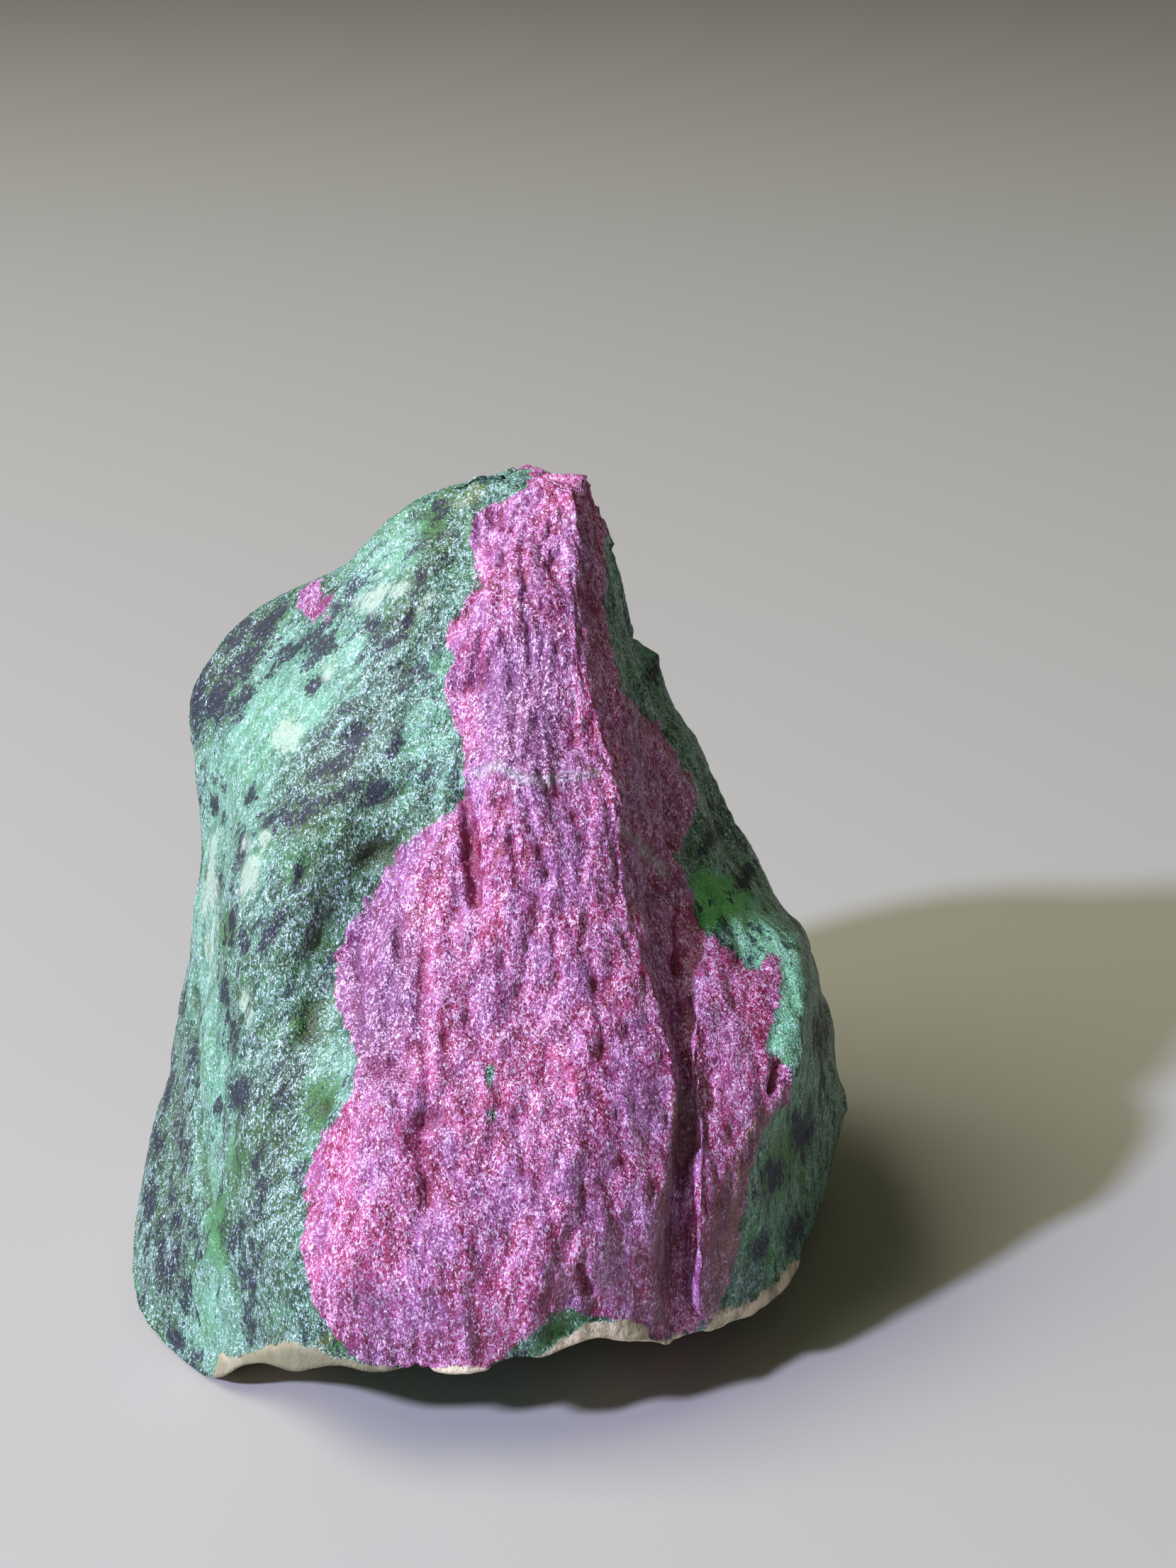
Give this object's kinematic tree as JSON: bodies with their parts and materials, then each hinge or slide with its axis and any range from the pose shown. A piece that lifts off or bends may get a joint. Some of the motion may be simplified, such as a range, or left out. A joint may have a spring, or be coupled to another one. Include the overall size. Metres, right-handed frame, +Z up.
{
  "type": "rough ruby in zoisite",
  "caption": "Rough, unpolished lump of green zoisite rock with a large ruby mass across its front and flank, standing on its broken underside.",
  "frame": {"origin": "middle of the stone's bounding box, on the resting face", "axes": "+Z up along the stone's height, -Y out of the ruby face, +X to the right as the ruby face is looked at"},
  "size_m": [0.0786, 0.0694, 0.0847],
  "materials": {
    "ruby_zoisite": "Natural broken surface with a sugary, sparkling grain: rose to crimson ruby, mint to dark green zoisite, blue-black hornblende streaks and pale feldspar spots"
  },
  "bodies": {
    "root": {"rough_ruby": "ruby_zoisite"}
  },
  "joints": []
}
